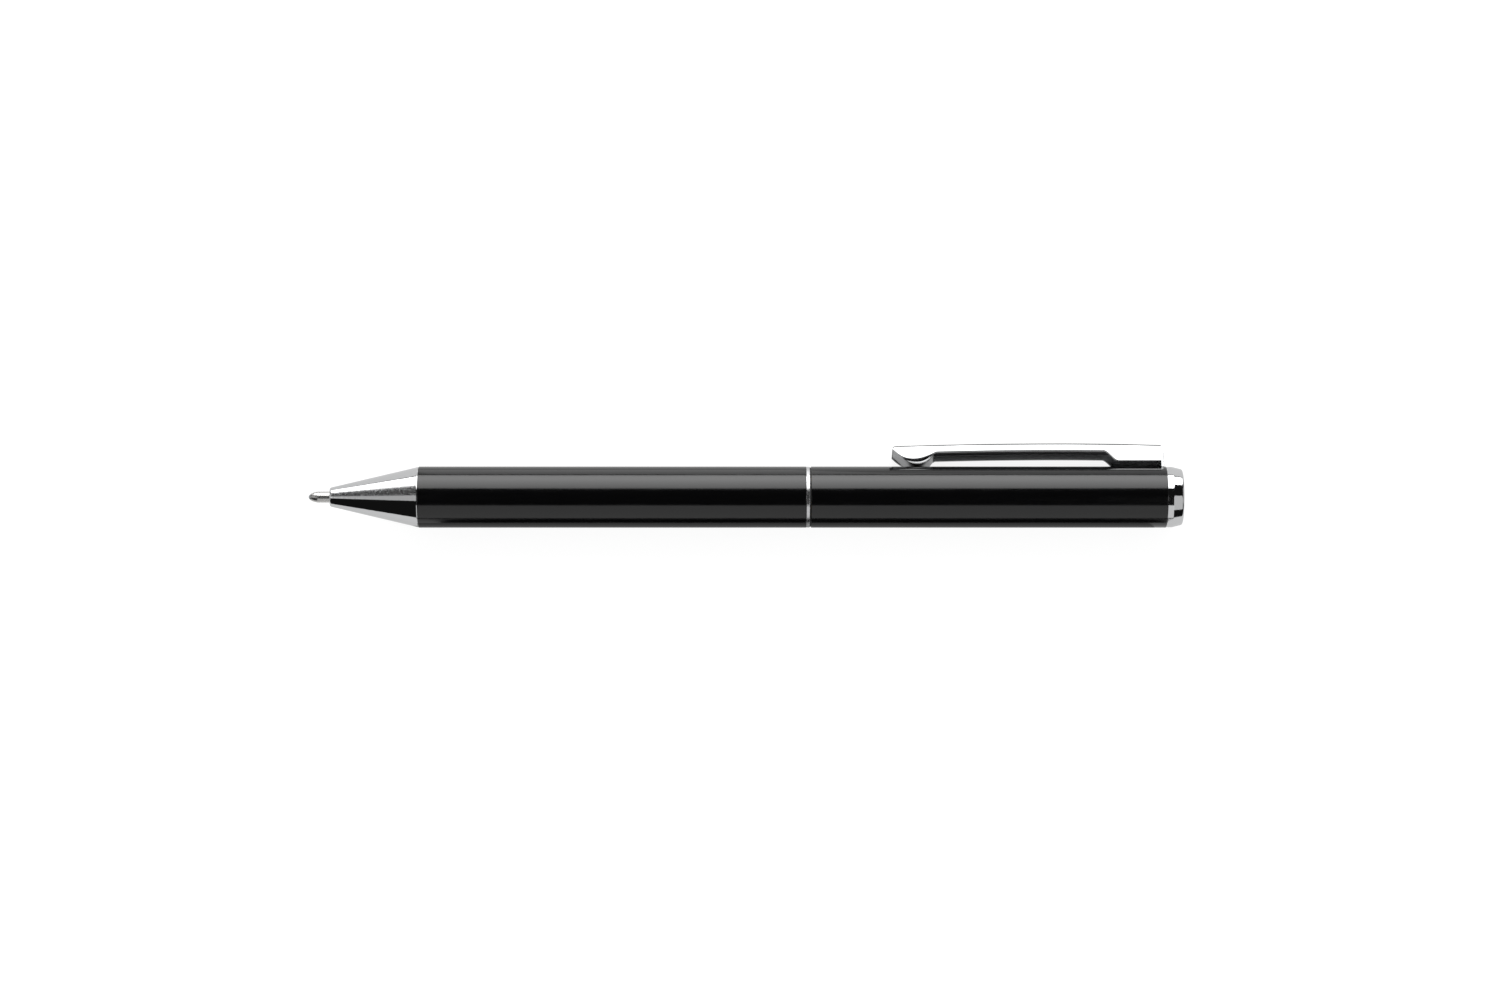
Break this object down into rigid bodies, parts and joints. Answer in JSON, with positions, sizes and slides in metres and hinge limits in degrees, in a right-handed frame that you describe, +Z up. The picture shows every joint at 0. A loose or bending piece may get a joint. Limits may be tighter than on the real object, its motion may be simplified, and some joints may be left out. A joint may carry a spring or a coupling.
{
  "type": "twist-action ballpoint pen",
  "caption": "Slim metal ballpoint pen with a black barrel, a bright cone, ring and clip, and a twist mechanism that draws the refill back.",
  "frame": {"origin": "on the table under the pen's axis, half way along the pen, on the lower barrel's underside", "axes": "+X along the pen from the writing tip towards the end cap, +Z up from the table it lies on, +Y the side that the clip lies on"},
  "size_m": [0.14, 0.0135, 0.0098],
  "materials": {
    "black_lacquer": "deep black gloss lacquer on a drawn metal tube",
    "chrome": "bright chrome plate",
    "clip_chrome": "bright chrome plate on folded spring-steel sheet",
    "brass": "machined, unplated",
    "refill_brass": "drawn tube, satin",
    "nickel_silver": "fine turned, satin",
    "carbide": "polished tungsten carbide",
    "ink": "blue-black paste",
    "grease": "translucent grease",
    "black_plastic": "moulded, satin",
    "rubber": "moulded nitrile",
    "spring_steel": "drawn wire, bright",
    "white_acetal": "moulded, smooth"
  },
  "bodies": {
    "lower_barrel": {"lower_barrel": "black_lacquer", "nose_cone": "chrome", "thread_insert": "brass"},
    "mechanism": {"mechanism_housing": "brass", "centre_ring": "chrome", "friction_ring": "rubber", "housing_retainer": "brass"},
    "refill": {"refill_tube": "refill_brass", "refill_point": "nickel_silver", "ink_column": "ink", "grease_follower": "grease", "refill_plug": "black_plastic", "return_spring": "spring_steel", "slider": "white_acetal", "slider_pin": "spring_steel"},
    "writing_ball": {"writing_ball": "carbide"},
    "upper_barrel": {"upper_barrel": "black_lacquer", "spiral_sleeve": "white_acetal", "drive_liner": "brass", "clip_seat": "black_plastic", "end_cap": "chrome"},
    "clip": {"clip": "clip_chrome"}
  },
  "joints": [
    {"name": "barrel_unscrew", "type": "slide", "parent": "lower_barrel", "child": "mechanism", "axis": [1, 0, 0], "range_m": [0, 0.085]},
    {"name": "twist", "type": "hinge", "parent": "mechanism", "child": "upper_barrel", "pos_m": [0.0105, 0, 0.00489], "axis": [1, 0, 0], "range_deg": [0, 180]},
    {"name": "refill_slide", "type": "slide", "parent": "mechanism", "child": "refill", "axis": [1, 0, 0], "range_m": [0, 0.006], "deforming": ["return_spring"]},
    {"name": "clip_flex", "type": "hinge", "parent": "upper_barrel", "child": "clip", "pos_m": [0.0668, 0.00463, 0.00328], "axis": [0, -0.3295, -0.9442], "range_deg": [0, 3.5], "stiffness_Nm_per_rad": 0.5},
    {"name": "ball_roll", "type": "hinge", "parent": "refill", "child": "writing_ball", "pos_m": [-0.0695, 0, 0.00489], "axis": [0, 1, 0], "continuous": true}
  ],
  "couplings": [
    {"joint": "twist", "follows": "refill_slide", "rad_per_m": 523.6}
  ]
}
